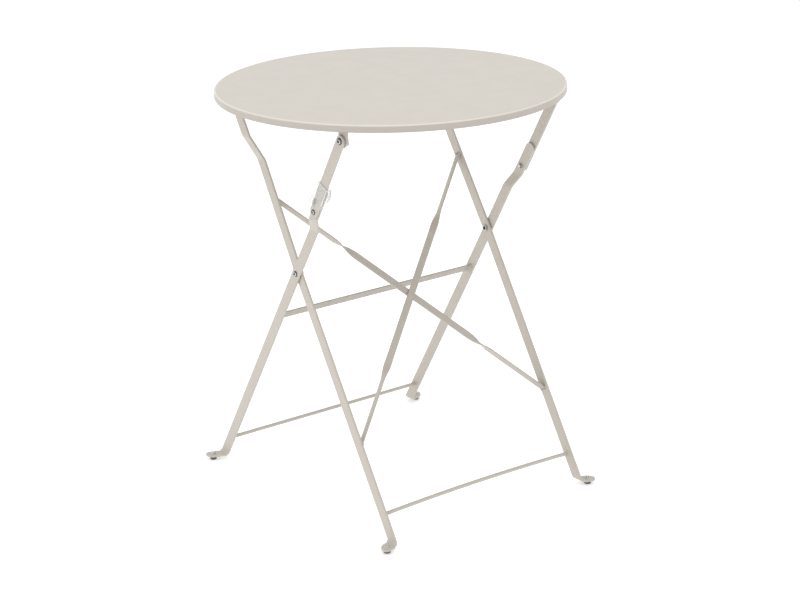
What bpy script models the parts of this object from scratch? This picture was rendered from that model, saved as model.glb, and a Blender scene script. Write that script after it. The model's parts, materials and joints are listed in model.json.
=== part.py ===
"""Folding bistro table: a shallow pressed-steel top on a crossed pair of flat-bar leg frames.

Run with: blender --background --python part.py
Millimetres are used throughout and scaled to metres where a mesh is made.
+X is the side with the knees, Y runs along every hinge, +Z is up, and the floor is z = 0.
"""

import math

import bmesh
import bpy
from mathutils import Vector

MM = 0.001
GAP = 0.3  # air left between pieces that touch or are welded
SHARP_ANGLE = math.radians(35)  # edges bent by more than this are shaded as edges

# Table top
TOP_RADIUS = 300.0
TOP_HEIGHT = 715.0
TOP_SHEET = 1.5
RIM_DEPTH = 12.5
RIM_CORNER = 3.0
RIM_LIP = 4.0
TOP_SEGMENTS = 120

# Flat bar of the legs and links: width lies in the side plane, thickness along Y
BAR_WIDTH = 20.0
BAR_THICK = 4.0
EDGE = 0.5  # small chamfer that stands for the rolled edge of a bar

# Leg lines in side view: x = foot x + slope * z
OUTER_FOOT_X = -257.1
OUTER_SLOPE = 0.6252
INNER_FOOT_X = 261.8
INNER_SLOPE = -0.6128

# Distance of each bar's middle from the centre plane, from foot to top
OUTER_FOOT_Y = 213.3
OUTER_CROSS_Y = 209.6
OUTER_BEND_Y = 207.9
OUTER_KNEE_Y = 219.4
INNER_FOOT_Y = 204.3
INNER_CROSS_Y = 204.8
INNER_BEND_Y = 200.2
INNER_TOP_Y = 213.7
LINK_Y = 223.7

# Heights where the bars are joggled outward
OUTER_BEND_Z = (509.3, 532.0)
INNER_BEND_Z = (595.8, 634.3)
OUTER_LEG_TOP_Z = 594.0

# Foot tabs
TAB_Z = 8.5
OUTER_TAB_Y = 234.5
INNER_TAB_Y = 221.7
TAB_SPLAY = 0.5  # share of a leg's lean that its tab keeps, so the feet point outward
FOOT_BEND_RADIUS = 7.0
PAD_RADIUS = 6.3
PAD_HEIGHT = 6.2

# Pivots in side view (x, z)
KNEE_Z = 548.3
LINK_TOP = (167.0, 683.0)
INNER_TOP_Z = 698.0
BOLT_RADIUS = 3.0
HOLE_RADIUS = 3.3
HEAD_RADIUS = 6.2
HEAD_HEIGHT = 3.2
NUT_FLAT = 10.0
NUT_HEIGHT = 4.0

# Rails and lugs under the top
RAIL_WIDTH = 28.0
RAIL_THICK = 3.0
LUG_THICK = 3.0
FRONT_LUG_Y = 219.8
REAR_LUG_Y = 217.5

# Cross bars, measured along the leg from the scissor pivot
MID_BAR_AT = -106.0
MID_BAR_WIDTH = 15.0
OUTER_ROD_AT = -438.6
INNER_ROD_AT = -430.5
INNER_ROD_BOW = 3.5
ROD_RADIUS = 3.2
STRIP_THICK = 2.5

# Twisted braces of the inner frame
BRACE_WIDTH = 13.0
LEFT_BRACE_AT = (134.5, -307.5)  # where it meets the legs, up and down from the scissor pivot
RIGHT_BRACE_AT = (144.0, -309.0)
BRACE_LIFT = 1.45
TWIST_AT = 0.25
TWIST_SHARE = 0.045

# Safety clip on the left link, by distance above the knee
CLIP_FROM = 17.0
CLIP_TO = 59.0
CLIP_HOOK_FROM = (39.0, 41.0, 44.0)  # where the side wall deepens, is deep, and has its lip
CLIP_WALL = 1.5
CLIP_PLAY = 1.3  # air at each edge of the link


def outer_x(z):
    return OUTER_FOOT_X + OUTER_SLOPE * z


def inner_x(z):
    return INNER_FOOT_X + INNER_SLOPE * z


CROSS_Z = (INNER_FOOT_X - OUTER_FOOT_X) / (OUTER_SLOPE - INNER_SLOPE)
SCISSOR = (outer_x(CROSS_Z), CROSS_Z)
KNEE = (outer_x(KNEE_Z), KNEE_Z)
INNER_TOP = (inner_x(INNER_TOP_Z), INNER_TOP_Z)
RAIL_TOP = TOP_HEIGHT - TOP_SHEET - GAP
RAIL_BOTTOM = RAIL_TOP - RAIL_THICK


# ---------------------------------------------------------------- materials
def material(name, colour, rough, metal=0.0, alpha=1.0):
    made = bpy.data.materials.new(name)
    made.use_nodes = True
    shader = made.node_tree.nodes["Principled BSDF"]
    shader.inputs["Base Color"].default_value = (*colour, 1.0)
    shader.inputs["Roughness"].default_value = rough
    shader.inputs["Metallic"].default_value = metal
    shader.inputs["Alpha"].default_value = alpha
    made.diffuse_color = (*colour, alpha)
    return made


# ---------------------------------------------------------------- mesh helpers
def place(name, bm, surface, joint):
    """Turns a mesh in world millimetres into an object whose origin is on its body's joint."""
    bmesh.ops.recalc_face_normals(bm, faces=bm.faces)
    origin = Vector(joint.location)
    for vertex in bm.verts:
        vertex.co = vertex.co * MM - origin
    mesh = bpy.data.meshes.new(name)
    bm.to_mesh(mesh)
    bm.free()
    mesh.materials.append(surface)
    mesh.shade_smooth()
    mesh.set_sharp_from_angle(angle=SHARP_ANGLE)
    piece = bpy.data.objects.new(name, mesh)
    piece.parent = joint
    bpy.context.collection.objects.link(piece)
    return piece


def ring(middle, width, thick):
    """Eight corners of a chamfered bar section; width and thick are half vectors."""
    across = 1.0 - EDGE / width.length if width.length > EDGE else 0.5
    deep = 1.0 - EDGE / thick.length
    signs = [(-1, -deep), (-across, -1), (across, -1), (1, -deep)]
    signs += [(1, deep), (across, 1), (-across, 1), (-1, deep)]
    return [middle + width * a + thick * b for a, b in signs]


def sweep(stations):
    """A closed bar through stations of (middle, half width, half thickness)."""
    bm = bmesh.new()
    rings = [[bm.verts.new(p) for p in ring(*station)] for station in stations]
    for before, after in zip(rings, rings[1:]):
        for i in range(8):
            j = (i + 1) % 8
            bm.faces.new((before[i], before[j], after[j], after[i]))
    bm.faces.new(rings[0])
    bm.faces.new(rings[-1])
    return bm


def lathe(profile, centre, axis, segments=24, hexagon=()):
    """Turns a closed outline of (radius, height) about an axis; corners in hexagon become hex."""
    bm = bmesh.new()
    turn = Vector((0, 0, 1)).rotation_difference(Vector(axis))
    rings = []
    for index, (radius, height) in enumerate(profile):
        if radius == 0.0:
            rings.append([bm.verts.new(Vector(centre) + turn @ Vector((0, 0, height)))])
            continue
        around = []
        for step in range(segments):
            angle = 2 * math.pi * step / segments
            reach = radius
            if index in hexagon:
                reach = radius / math.cos((angle % (math.pi / 3)) - math.pi / 6)
            point = Vector((reach * math.cos(angle), reach * math.sin(angle), height))
            around.append(bm.verts.new(Vector(centre) + turn @ point))
        rings.append(around)
    closed = profile[0][0] > 0.0 and profile[-1][0] > 0.0
    pairs = list(zip(rings, rings[1:]))
    if closed:
        pairs.append((rings[-1], rings[0]))
    for before, after in pairs:
        for step in range(segments):
            n = (step + 1) % segments
            corners = [before[step % len(before)], before[n % len(before)]]
            corners += [after[n % len(after)], after[step % len(after)]]
            unique = list(dict.fromkeys(corners))
            if len(unique) > 2:
                bm.faces.new(unique)
    return bm


def plate(outline, y_low, y_high):
    """A flat plate with an outline in side view (x, z) between two y planes."""
    bm = bmesh.new()
    low = [bm.verts.new((x, y_low, z)) for x, z in outline]
    high = [bm.verts.new((x, y_high, z)) for x, z in outline]
    bm.faces.new(low)
    bm.faces.new(high)
    for i in range(len(outline)):
        j = (i + 1) % len(outline)
        bm.faces.new((low[i], low[j], high[j], high[i]))
    return bm


def drill(piece, x, y, z, radius=HOLE_RADIUS, length=20.0, axis="Y"):
    """Cuts a round hole along Y, or along Z, with a hidden cutter."""
    bm = bmesh.new()
    bmesh.ops.create_cone(
        bm, cap_ends=True, segments=24, radius1=radius * MM, radius2=radius * MM, depth=length * MM
    )
    mesh = bpy.data.meshes.new("hole_in_" + piece.name)
    bm.to_mesh(mesh)
    bm.free()
    cutter = bpy.data.objects.new(mesh.name, mesh)
    cutter.parent = piece.parent
    cutter.location = Vector((x, y, z)) * MM - Vector(piece.parent.location)
    if axis == "Y":
        cutter.rotation_euler = (math.pi / 2, 0, 0)
    cutter.hide_render = True
    cutter.display_type = "WIRE"
    bpy.context.collection.objects.link(cutter)
    cut = piece.modifiers.new("hole", "BOOLEAN")
    cut.operation = "DIFFERENCE"
    cut.solver = "EXACT"
    cut.object = cutter


def rounded(points, radius, steps=4):
    """Rounds the corners of an open polyline; returns (point, tangent) pairs."""
    path = [Vector(p) for p in points]
    result = [(path[0], (path[1] - path[0]).normalized())]
    for before, corner, after in zip(path, path[1:], path[2:]):
        into = (corner - before).normalized()
        out = (after - corner).normalized()
        bend = into.angle(out)
        if bend < 0.02:
            result.append((corner, (into + out).normalized()))
            continue
        cut = radius * math.tan(bend / 2)
        start = corner - into * cut
        side = (out - into * into.dot(out)).normalized()
        for step in range(steps + 1):
            angle = bend * step / steps
            point = start + into * (radius * math.sin(angle)) + side * (radius * (1 - math.cos(angle)))
            result.append((point, into * math.cos(angle) + side * math.sin(angle)))
    result.append((path[-1], (path[-1] - path[-2]).normalized()))
    return result


# ---------------------------------------------------------------- legs and links
def span_at(z, line, slope, end):
    """Left and right x of a leg at height z, with a round end about the point end."""
    reach = BAR_WIDTH / 2
    tilt = math.atan(slope)
    half = reach / math.cos(tilt)
    left, right = line(z) - half, line(z) + half
    above = math.sqrt(max(reach**2 - (z - end[1]) ** 2, 0.0))
    if z > end[1] - reach * math.sin(tilt) or z > end[1] + reach:
        right = end[0] + above
    if z > end[1] + reach * math.sin(tilt) or z > end[1] + reach:
        left = end[0] - above
    return left, right


def tab_x(y, line, slope, foot_y):
    """The middle of a foot tab at a distance y from the centre plane."""
    return line(TAB_Z) - TAB_SPLAY * slope * max(y - foot_y, 0.0)


def leg_stations(side, line, slope, tab_y, bends, top):
    """Bar stations from the tip of the foot tab up to the round top of a leg."""
    half = BAR_WIDTH / 2 / math.cos(math.atan(slope))
    foot_y = bends[0][0]
    path = rounded([(tab_y, TAB_Z), (foot_y, TAB_Z)] + bends[1:], FOOT_BEND_RADIUS, 5)
    stations = []
    for share in (0.15, 0.4, 0.7, 0.9):
        y = tab_y + half * math.sqrt(1 - share**2)
        middle = Vector((tab_x(y, line, slope, foot_y), side * y, TAB_Z))
        stations.append((middle, Vector((half * share, 0, 0)), Vector((0, 0, BAR_THICK / 2))))
    for point, tangent in path:
        y, z = point
        x = line(z) if z > TAB_Z else tab_x(y, line, slope, foot_y)
        middle = Vector((x, side * y, z))
        thick = Vector((0, side * -tangent.y, tangent.x)) * -BAR_THICK / 2
        stations.append((middle, Vector((half, 0, 0)), thick))
    stations.pop()
    y = bends[-1][0]
    for angle in range(-60, 81, 20):
        z = top[1] + BAR_WIDTH / 2 * math.sin(math.radians(angle))
        left, right = span_at(z, line, slope, top)
        middle = Vector(((left + right) / 2, side * y, z))
        stations.append((middle, Vector(((right - left) / 2, 0, 0)), Vector((0, side * BAR_THICK / 2, 0))))
    return stations


def make_outer_leg(name, side, paint, joint):
    end_z = OUTER_LEG_TOP_Z - BAR_WIDTH / 2
    bends = [
        (OUTER_FOOT_Y, TAB_Z),
        (OUTER_CROSS_Y, CROSS_Z),
        (OUTER_BEND_Y, OUTER_BEND_Z[0]),
        (OUTER_KNEE_Y, OUTER_BEND_Z[1]),
        (OUTER_KNEE_Y, end_z),
    ]
    top = (outer_x(end_z), end_z)
    bm = sweep(leg_stations(side, outer_x, OUTER_SLOPE, OUTER_TAB_Y, bends, top))
    leg = place(name, bm, paint, joint)
    drill(leg, SCISSOR[0], side * OUTER_CROSS_Y, SCISSOR[1])
    drill(leg, KNEE[0], side * OUTER_KNEE_Y, KNEE[1])
    pad_x = tab_x(OUTER_TAB_Y, outer_x, OUTER_SLOPE, OUTER_FOOT_Y)
    drill(leg, pad_x, side * OUTER_TAB_Y, TAB_Z, axis="Z")


def make_inner_leg(name, side, paint, joint):
    bends = [
        (INNER_FOOT_Y, TAB_Z),
        (INNER_CROSS_Y, CROSS_Z),
        (INNER_BEND_Y, INNER_BEND_Z[0]),
        (INNER_TOP_Y, INNER_BEND_Z[1]),
        (INNER_TOP_Y, INNER_TOP_Z),
    ]
    bm = sweep(leg_stations(side, inner_x, INNER_SLOPE, INNER_TAB_Y, bends, INNER_TOP))
    leg = place(name, bm, paint, joint)
    drill(leg, SCISSOR[0], side * INNER_CROSS_Y, SCISSOR[1])
    drill(leg, INNER_TOP[0], side * INNER_TOP_Y, INNER_TOP[1])
    pad_x = tab_x(INNER_TAB_Y, inner_x, INNER_SLOPE, INNER_FOOT_Y)
    drill(leg, pad_x, side * INNER_TAB_Y, TAB_Z, axis="Z")


def capsule(start, end, radius, steps=7):
    """Outline of a bar with round ends about two points in side view."""
    lean = math.atan2(end[1] - start[1], end[0] - start[0])
    outline = []
    for centre, first in ((end, lean - math.pi / 2), (start, lean + math.pi / 2)):
        for step in range(steps + 1):
            angle = first + math.pi * step / steps
            outline.append((centre[0] + radius * math.cos(angle), centre[1] + radius * math.sin(angle)))
    return outline


def make_link(name, side, paint, joint):
    outline = capsule(KNEE, LINK_TOP, BAR_WIDTH / 2)
    y = side * LINK_Y
    link = place(name, plate(outline, y - BAR_THICK / 2, y + BAR_THICK / 2), paint, joint)
    drill(link, KNEE[0], y, KNEE[1])
    drill(link, LINK_TOP[0], y, LINK_TOP[1])


# ---------------------------------------------------------------- cross bars
def along_leg(distance, slope):
    """Point in side view on a leg line, at a distance from the scissor pivot."""
    lean = math.atan(slope)
    return SCISSOR[0] + distance * math.sin(lean), SCISSOR[1] + distance * math.cos(lean)


def leg_face_y(distance, slope, foot_y, cross_y):
    """Inner face of a leg below the pivot, at a distance along it."""
    z = along_leg(distance, slope)[1]
    middle = cross_y + (foot_y - cross_y) * (CROSS_Z - z) / (CROSS_Z - TAB_Z)
    return middle - BAR_THICK / 2 - GAP


def make_mid_bar(paint, joint):
    x, z = along_leg(MID_BAR_AT, OUTER_SLOPE)
    lean = math.atan(OUTER_SLOPE)
    reach = leg_face_y(MID_BAR_AT, OUTER_SLOPE, OUTER_FOOT_Y, OUTER_CROSS_Y)
    width = Vector((math.sin(lean), 0, math.cos(lean))) * MID_BAR_WIDTH / 2
    thick = Vector((math.cos(lean), 0, -math.sin(lean))) * STRIP_THICK / 2
    ends = [(Vector((x, y, z)), width, thick) for y in (-reach, reach)]
    place("outer_mid_bar", sweep(ends), paint, joint)


def make_rod(name, at, slope, foot_y, cross_y, bow, paint, joint):
    """A round rod between two legs, bowed up the frame by a few millimetres in its middle."""
    reach = leg_face_y(at, slope, foot_y, cross_y)
    rings = []
    bm = bmesh.new()
    for step in range(13):
        y = -reach + 2 * reach * step / 12
        x, z = along_leg(at + bow * (1 - (y / reach) ** 2), slope)
        around = []
        for turn in range(16):
            angle = 2 * math.pi * turn / 16
            spot = (x + ROD_RADIUS * math.cos(angle), y, z + ROD_RADIUS * math.sin(angle))
            around.append(bm.verts.new(spot))
        rings.append(around)
    for before, after in zip(rings, rings[1:]):
        for turn in range(16):
            n = (turn + 1) % 16
            bm.faces.new((before[turn], before[n], after[n], after[turn]))
    bm.faces.new(rings[0])
    bm.faces.new(rings[-1])
    place(name, bm, paint, joint)


def twist(share):
    """Quarter turn of a brace: 0 on edge at its ends, 1 flat in the frame between its twists."""
    edge = min(share, 1 - share)
    ease = min(max((edge - TWIST_AT + TWIST_SHARE) / (2 * TWIST_SHARE), 0.0), 1.0)
    return ease * ease * (3 - 2 * ease)


def make_brace(name, side, meets, lift, turn_way, paint, joint):
    """Flat strip from one inner leg down to the other, twisted flat between its ends."""
    lean = math.atan(INNER_SLOPE)
    down_leg = Vector((math.sin(lean), 0, math.cos(lean)))
    normal = Vector((math.cos(lean), 0, -math.sin(lean)))
    low_face = leg_face_y(meets[1], INNER_SLOPE, INNER_FOOT_Y, INNER_CROSS_Y)
    top_z = along_leg(meets[0], INNER_SLOPE)[1]
    upper = INNER_CROSS_Y + (INNER_BEND_Y - INNER_CROSS_Y) * (top_z - CROSS_Z) / (INNER_BEND_Z[0] - CROSS_Z)
    top_face = upper - BAR_THICK / 2 - GAP
    ends = []
    for distance, y in zip(meets, (side * top_face, -side * low_face)):
        x, z = along_leg(distance, INNER_SLOPE)
        ends.append(Vector((x, y, z)) + normal * lift)
    run = (ends[1] - ends[0]).normalized()
    flat = normal.cross(run)
    stations = []
    for step in range(61):
        share = step / 60
        turn = turn_way * twist(share) * math.pi / 2
        width = normal * math.cos(turn) + flat * math.sin(turn)
        thick = run.cross(width)
        stations.append((ends[0].lerp(ends[1], share), width * BRACE_WIDTH / 2, thick * STRIP_THICK / 2))
    kept = [stations[i] for i in range(61) if 0 < twist(i / 60) < 1 or i in (6, 12, 30, 48, 54)]
    end_thick = down_leg * (STRIP_THICK / 2 / abs(run.y))
    square = [(spot, normal * BRACE_WIDTH / 2, end_thick) for spot in ends]
    if square[0][2].dot(kept[0][2]) < 0:
        square = [(spot, width, -thick) for spot, width, thick in square]
    place(name, sweep([square[0]] + kept + [square[1]]), paint, joint)


# ---------------------------------------------------------------- top
def make_top(paint, joint):
    """Pressed pan: flat sheet, rounded edge, straight rim and a lip turned in."""
    outer = []
    inner = []
    for step in range(6):
        angle = math.pi / 2 * (1 - step / 5)
        reach, rise = math.cos(angle), math.sin(angle)
        centre = (TOP_RADIUS - RIM_CORNER, TOP_HEIGHT - RIM_CORNER)
        outer.append((centre[0] + RIM_CORNER * reach, centre[1] + RIM_CORNER * rise))
        bend = RIM_CORNER - TOP_SHEET
        inner.append((centre[0] + bend * reach, centre[1] + bend * rise))
    low = TOP_HEIGHT - RIM_DEPTH
    outer += [(TOP_RADIUS, low + 1.0), (TOP_RADIUS - 1.0, low), (TOP_RADIUS - RIM_LIP, low)]
    inner += [(TOP_RADIUS - TOP_SHEET, low + TOP_SHEET), (TOP_RADIUS - RIM_LIP, low + TOP_SHEET)]
    profile = [(0.0, TOP_HEIGHT)] + outer + inner[::-1] + [(0.0, TOP_HEIGHT - TOP_SHEET)]
    bm = lathe(profile, (0, 0, 0), (0, 0, 1), TOP_SEGMENTS)
    place("table_top", bm, paint, joint)


def make_rail(name, x, lug_y, paint, joint):
    """Flat rail welded under the sheet, spanning the two pivot lugs."""
    reach = lug_y - LUG_THICK / 2 - GAP
    middle_z = (RAIL_TOP + RAIL_BOTTOM) / 2
    half = (Vector((RAIL_WIDTH / 2, 0, 0)), Vector((0, 0, RAIL_THICK / 2)))
    ends = [(Vector((x, y, middle_z)), *half) for y in (-reach, reach)]
    place(name, sweep(ends), paint, joint)


def make_lug(name, side, pivot, lug_y, outline, paint, joint):
    """Upright pivot ear under the end of a rail."""
    y = side * lug_y
    lug = place(name, plate(outline, y - LUG_THICK / 2, y + LUG_THICK / 2), paint, joint)
    drill(lug, pivot[0], y, pivot[1])


def front_lug_outline():
    """Ear that flares a little below the rim, with its lower corner cut."""
    x, z = LINK_TOP
    return [
        (x - 14, RAIL_TOP),
        (x - 12, z - 4),
        (x - 5, z - 11),
        (x + 3, z - 12),
        (x + 16, z - 4),
        (x + 14, z + 6),
        (x + 14, RAIL_TOP),
    ]


def rear_lug_outline():
    x, z = INNER_TOP
    half = RAIL_WIDTH / 2
    return [
        (x - half, RAIL_TOP),
        (x - half, z),
        (x - 6, z - 10),
        (x + 6, z - 10),
        (x + half, z),
        (x + half, RAIL_TOP),
    ]


# ---------------------------------------------------------------- fasteners and feet
def make_bolt(name, pivot, side, head_face, tip, zinc, joint):
    """Domed bolt along Y: head outside, shank reaching in to the y distance tip."""
    length = head_face - tip
    profile = [
        (0.0, HEAD_HEIGHT),
        (HEAD_RADIUS * 0.5, HEAD_HEIGHT * 0.9),
        (HEAD_RADIUS * 0.85, HEAD_HEIGHT * 0.55),
        (HEAD_RADIUS, 0.0),
        (BOLT_RADIUS, 0.0),
        (BOLT_RADIUS, -length),
        (0.0, -length),
    ]
    centre = (pivot[0], side * head_face, pivot[1])
    place(name, lathe(profile, centre, (0, side, 0)), zinc, joint)


def make_nut(name, pivot, side, face, zinc, joint):
    """Hexagon nut against an inner face, its far side chamfered round."""
    flat = NUT_FLAT / 2
    profile = [
        (HOLE_RADIUS, 0.0),
        (flat, 0.0),
        (flat, NUT_HEIGHT - 0.8),
        (flat - 0.6, NUT_HEIGHT),
        (HOLE_RADIUS, NUT_HEIGHT),
    ]
    centre = (pivot[0], side * face, pivot[1])
    place(name, lathe(profile, centre, (0, -side, 0), 24, hexagon=(1, 2)), zinc, joint)


def make_foot(label, side, x, y, rubber, zinc, joint):
    """Round pad under a foot tab and the rivet that holds it."""
    hole = 2.2
    pad = [
        (0.0, 0.0),
        (PAD_RADIUS - 1.0, 0.0),
        (PAD_RADIUS, 1.0),
        (PAD_RADIUS, PAD_HEIGHT),
        (hole + GAP, PAD_HEIGHT),
        (hole + GAP, 1.8),
        (0.0, 1.8),
    ]
    place("foot_pad_" + label, lathe(pad, (x, side * y, 0), (0, 0, 1)), rubber, joint)
    top = TAB_Z + BAR_THICK / 2 + GAP
    rivet = [(0.0, 2.2), (2.2, 1.9), (3.8, 1.0), (4.4, 0.0), (hole, 0.0), (hole, 2.1 - top), (0.0, 2.1 - top)]
    place("foot_rivet_" + label, lathe(rivet, (x, side * y, top), (0, 0, 1)), zinc, joint)


# ---------------------------------------------------------------- safety clip
def make_clip(plastic, joint):
    """Channel that rides on the left link; its upper part hooks behind the end of the leg."""
    lean = Vector((LINK_TOP[0] - KNEE[0], 0, LINK_TOP[1] - KNEE[1])).normalized()
    across = Vector((lean.z, 0, -lean.x))
    half = BAR_WIDTH / 2 + CLIP_PLAY
    wall = CLIP_WALL
    outer_y = LINK_Y + BAR_THICK / 2 + 0.4
    split_y = LINK_Y - BAR_THICK / 2 + 0.4
    hook_y = OUTER_KNEE_Y - BAR_THICK / 2 - 0.6
    channel = [
        (half, outer_y),
        (-half, outer_y),
        (-half, split_y),
        (-half - wall, split_y),
        (-half - wall, outer_y + wall),
        (half + wall, outer_y + wall),
    ]
    shares = (1.0, 0.67, 0.33, 0.0)
    plain_edge = [(half + wall * share, split_y) for share in shares]
    deep_edge = [(half + wall * share, hook_y - wall) for share in shares]
    hook = [(half + wall, hook_y - wall), (-2.0, hook_y - wall), (-2.0, hook_y), (half, hook_y)]
    sections = [
        (CLIP_FROM, channel + plain_edge),
        (CLIP_HOOK_FROM[0], channel + plain_edge),
        (CLIP_HOOK_FROM[1], channel + deep_edge),
        (CLIP_HOOK_FROM[2], channel + hook),
        (CLIP_TO, channel + hook),
    ]
    bm = bmesh.new()
    rings = []
    for distance, outline in sections:
        base = Vector((KNEE[0], 0, KNEE[1])) + lean * distance
        rings.append([bm.verts.new(base + across * u + Vector((0, -y, 0))) for u, y in outline])
    for before, after in zip(rings, rings[1:]):
        for i in range(len(before)):
            j = (i + 1) % len(before)
            bm.faces.new((before[i], before[j], after[j], after[i]))
    bm.faces.new(rings[0])
    bm.faces.new(rings[-1])
    place("safety_clip", bm, plastic, joint)


# ---------------------------------------------------------------- assembly
def joint_empty(name, x=0.0, z=0.0):
    made = bpy.data.objects.new(name, None)
    made.location = Vector((x, 0, z)) * MM
    bpy.context.collection.objects.link(made)
    return made


def make_top_body(paint, zinc):
    body = joint_empty("body_top")
    make_top(paint, body)
    make_rail("front_rail", LINK_TOP[0], FRONT_LUG_Y, paint, body)
    make_rail("rear_rail", INNER_TOP[0], REAR_LUG_Y, paint, body)
    for label, side in (("left", -1), ("right", 1)):
        make_lug("front_lug_" + label, side, LINK_TOP, FRONT_LUG_Y, front_lug_outline(), paint, body)
        make_lug("rear_lug_" + label, side, INNER_TOP, REAR_LUG_Y, rear_lug_outline(), paint, body)
        make_bolt(
            "rear_pivot_bolt_" + label, INNER_TOP, side,
            REAR_LUG_Y + LUG_THICK / 2 + GAP, REAR_LUG_Y - LUG_THICK / 2, zinc, body,
        )
        make_nut("front_pivot_nut_" + label, LINK_TOP, side, FRONT_LUG_Y - LUG_THICK / 2 - GAP, zinc, body)


def make_links_body(paint, zinc):
    body = joint_empty("body_links", *LINK_TOP)
    outside = LINK_Y + BAR_THICK / 2 + GAP
    for label, side in (("left", -1), ("right", 1)):
        make_link("link_" + label, side, paint, body)
        make_bolt("front_pivot_bolt_" + label, LINK_TOP, side, outside, FRONT_LUG_Y - 6.0, zinc, body)
    return body


def make_outer_body(paint, zinc, rubber):
    body = joint_empty("body_outer_frame", *KNEE)
    outside = LINK_Y + BAR_THICK / 2 + GAP
    for label, side in (("left", -1), ("right", 1)):
        make_outer_leg("outer_leg_" + label, side, paint, body)
        pad_x = tab_x(OUTER_TAB_Y, outer_x, OUTER_SLOPE, OUTER_FOOT_Y)
        make_foot("outer_" + label, side, pad_x, OUTER_TAB_Y, rubber, zinc, body)
        make_bolt("knee_bolt_" + label, KNEE, side, outside, OUTER_KNEE_Y - 7.0, zinc, body)
        make_nut("knee_nut_" + label, KNEE, side, OUTER_KNEE_Y - BAR_THICK / 2 - GAP, zinc, body)
        head = OUTER_CROSS_Y + BAR_THICK / 2 + GAP
        make_bolt("scissor_bolt_" + label, SCISSOR, side, head, INNER_CROSS_Y - 7.0, zinc, body)
    make_mid_bar(paint, body)
    make_rod("outer_low_rod", OUTER_ROD_AT, OUTER_SLOPE, OUTER_FOOT_Y, OUTER_CROSS_Y, 0.0, paint, body)


def make_inner_body(paint, zinc, rubber):
    body = joint_empty("body_inner_frame", *SCISSOR)
    for label, side in (("left", -1), ("right", 1)):
        make_inner_leg("inner_leg_" + label, side, paint, body)
        pad_x = tab_x(INNER_TAB_Y, inner_x, INNER_SLOPE, INNER_FOOT_Y)
        make_foot("inner_" + label, side, pad_x, INNER_TAB_Y, rubber, zinc, body)
        make_nut("scissor_nut_" + label, SCISSOR, side, INNER_CROSS_Y - BAR_THICK / 2 - GAP, zinc, body)
        make_bolt(
            "rear_pivot_stud_" + label, INNER_TOP, -side,
            -(INNER_TOP_Y - BAR_THICK / 2 - GAP), -(INNER_TOP_Y + BAR_THICK / 2), zinc, body,
        )
    make_rod("inner_low_rod", INNER_ROD_AT, INNER_SLOPE, INNER_FOOT_Y, INNER_CROSS_Y, INNER_ROD_BOW, paint, body)
    make_brace("brace_from_left", -1, LEFT_BRACE_AT, -BRACE_LIFT, -1, paint, body)
    make_brace("brace_from_right", 1, RIGHT_BRACE_AT, BRACE_LIFT, 1, paint, body)


def main():
    for old in list(bpy.data.objects):
        bpy.data.objects.remove(old, do_unlink=True)
    paint = material("powder_coat", (0.66, 0.61, 0.55), 0.5)
    zinc = material("zinc", (0.62, 0.63, 0.64), 0.35, 1.0)
    rubber = material("pad", (0.12, 0.12, 0.12), 0.7)
    plastic = material("clear_plastic", (0.85, 0.86, 0.85), 0.3, 0.0, 0.5)
    make_top_body(paint, zinc)
    make_links_body(paint, zinc)
    clip_body = joint_empty("body_clip", *KNEE)
    make_clip(plastic, clip_body)
    make_outer_body(paint, zinc, rubber)
    make_inner_body(paint, zinc, rubber)


main()
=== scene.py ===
"""Folding bistro table: the finished look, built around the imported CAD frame.

Meshes are made in world millimetres and scaled to metres in finish_piece().
Left is -Y and right is +Y; +X is the side with the knees.
"""

import json
import math
import random

import bmesh
import bpy
from mathutils import Matrix, Vector


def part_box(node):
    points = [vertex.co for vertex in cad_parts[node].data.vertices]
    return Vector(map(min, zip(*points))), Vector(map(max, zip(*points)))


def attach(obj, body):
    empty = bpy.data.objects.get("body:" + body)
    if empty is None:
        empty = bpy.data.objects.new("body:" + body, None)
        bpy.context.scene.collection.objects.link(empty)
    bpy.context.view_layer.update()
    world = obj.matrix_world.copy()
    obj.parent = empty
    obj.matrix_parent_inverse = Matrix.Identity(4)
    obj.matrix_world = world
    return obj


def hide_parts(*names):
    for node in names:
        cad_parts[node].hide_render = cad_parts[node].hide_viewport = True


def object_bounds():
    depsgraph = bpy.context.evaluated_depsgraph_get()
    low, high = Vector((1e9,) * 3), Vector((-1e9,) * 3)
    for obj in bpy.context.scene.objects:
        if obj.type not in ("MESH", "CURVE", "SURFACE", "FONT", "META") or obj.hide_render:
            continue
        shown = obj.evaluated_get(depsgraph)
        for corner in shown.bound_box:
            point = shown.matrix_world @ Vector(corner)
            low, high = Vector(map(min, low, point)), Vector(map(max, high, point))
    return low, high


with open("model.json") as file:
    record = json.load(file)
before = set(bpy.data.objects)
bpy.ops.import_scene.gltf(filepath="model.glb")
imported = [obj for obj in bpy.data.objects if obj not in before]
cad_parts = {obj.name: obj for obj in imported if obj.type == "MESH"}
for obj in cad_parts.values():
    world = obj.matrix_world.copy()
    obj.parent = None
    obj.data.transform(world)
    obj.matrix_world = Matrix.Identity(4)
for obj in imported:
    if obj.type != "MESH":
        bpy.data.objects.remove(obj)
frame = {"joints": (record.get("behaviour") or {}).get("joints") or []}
CAD_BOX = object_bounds()

MM = 0.001
SIDES = (("left", -1), ("right", 1))

# ------------------------------------------------------------------ places read from the frame
JOINTS = {joint["name"]: joint for joint in frame["joints"]}


def joint_xz(name):
    """Where a pivot's axis crosses the side planes."""
    x, _, z = JOINTS[name]["pos_m"]
    return x / MM, z / MM


def low(node):
    """The corner of a node's box with its smallest x, y and z."""
    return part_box(node)[0] / MM


def high(node):
    """The corner with its largest x, y and z."""
    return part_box(node)[1] / MM


def middle(node):
    return (low(node) + high(node)) / 2


def reach_of(node, pick):
    """The distance of a node's farther (max) or nearer (min) end from the centre plane."""
    return pick(abs(low(node).y), abs(high(node).y))


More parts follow.
